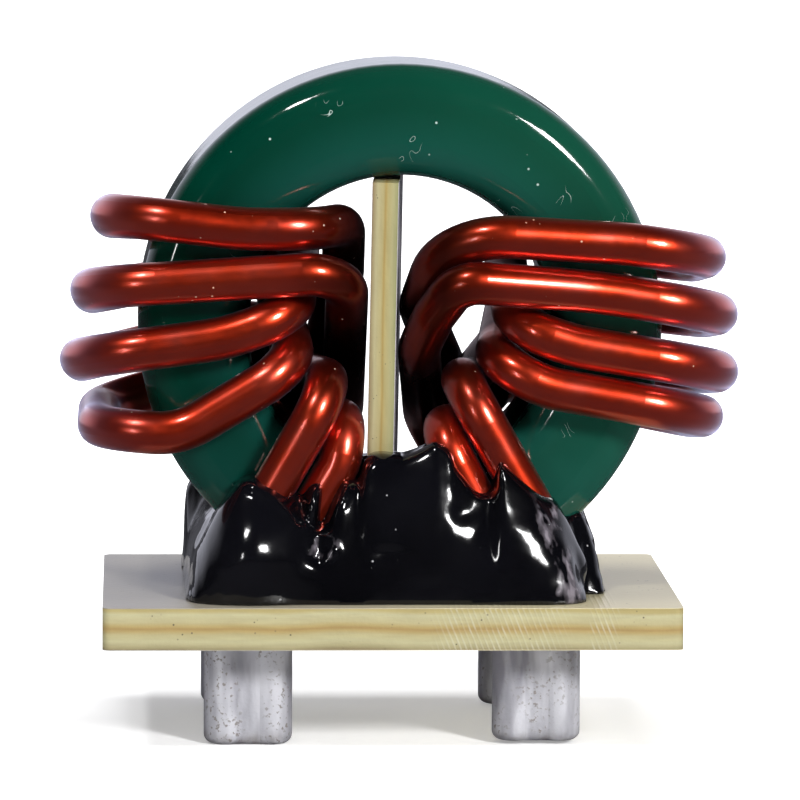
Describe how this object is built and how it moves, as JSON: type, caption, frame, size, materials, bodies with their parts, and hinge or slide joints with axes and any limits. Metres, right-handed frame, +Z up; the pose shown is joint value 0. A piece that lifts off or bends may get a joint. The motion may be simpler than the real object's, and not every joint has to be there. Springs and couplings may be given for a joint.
{
  "type": "toroidal inductor",
  "caption": "Vertical toroidal inductor: coated ring core with thick enamelled wire windings, separator board, epoxy mound and laminate base with solder-coated pins.",
  "frame": {"origin": "centre of the base plate's underside, which rests on a circuit board", "axes": "+Z up through the upright ring, -Y the front face that the picture shows, +X the picture's right"},
  "size_m": [0.0324, 0.02, 0.0321],
  "materials": {
    "laminate": "satin sawn glass-epoxy laminate",
    "laminate_board": "satin sawn glass-epoxy laminate",
    "core_coating": "glossy dark green coating",
    "enamelled_copper": "clear red-orange enamel over bright copper",
    "solder": "bright pitted solder",
    "potting_epoxy": "glossy black"
  },
  "bodies": {
    "root": {"base_plate": "laminate", "separator_board": "laminate_board", "toroid_core": "core_coating", "left_winding_outer_wire": "enamelled_copper", "left_winding_inner_wire": "enamelled_copper", "right_winding_outer_wire": "enamelled_copper", "right_winding_inner_wire": "enamelled_copper", "front_left_pin_solder": "solder", "front_right_pin_solder": "solder", "back_left_pin_solder": "solder", "back_right_pin_solder": "solder", "epoxy_mound": "potting_epoxy"}
  },
  "joints": []
}
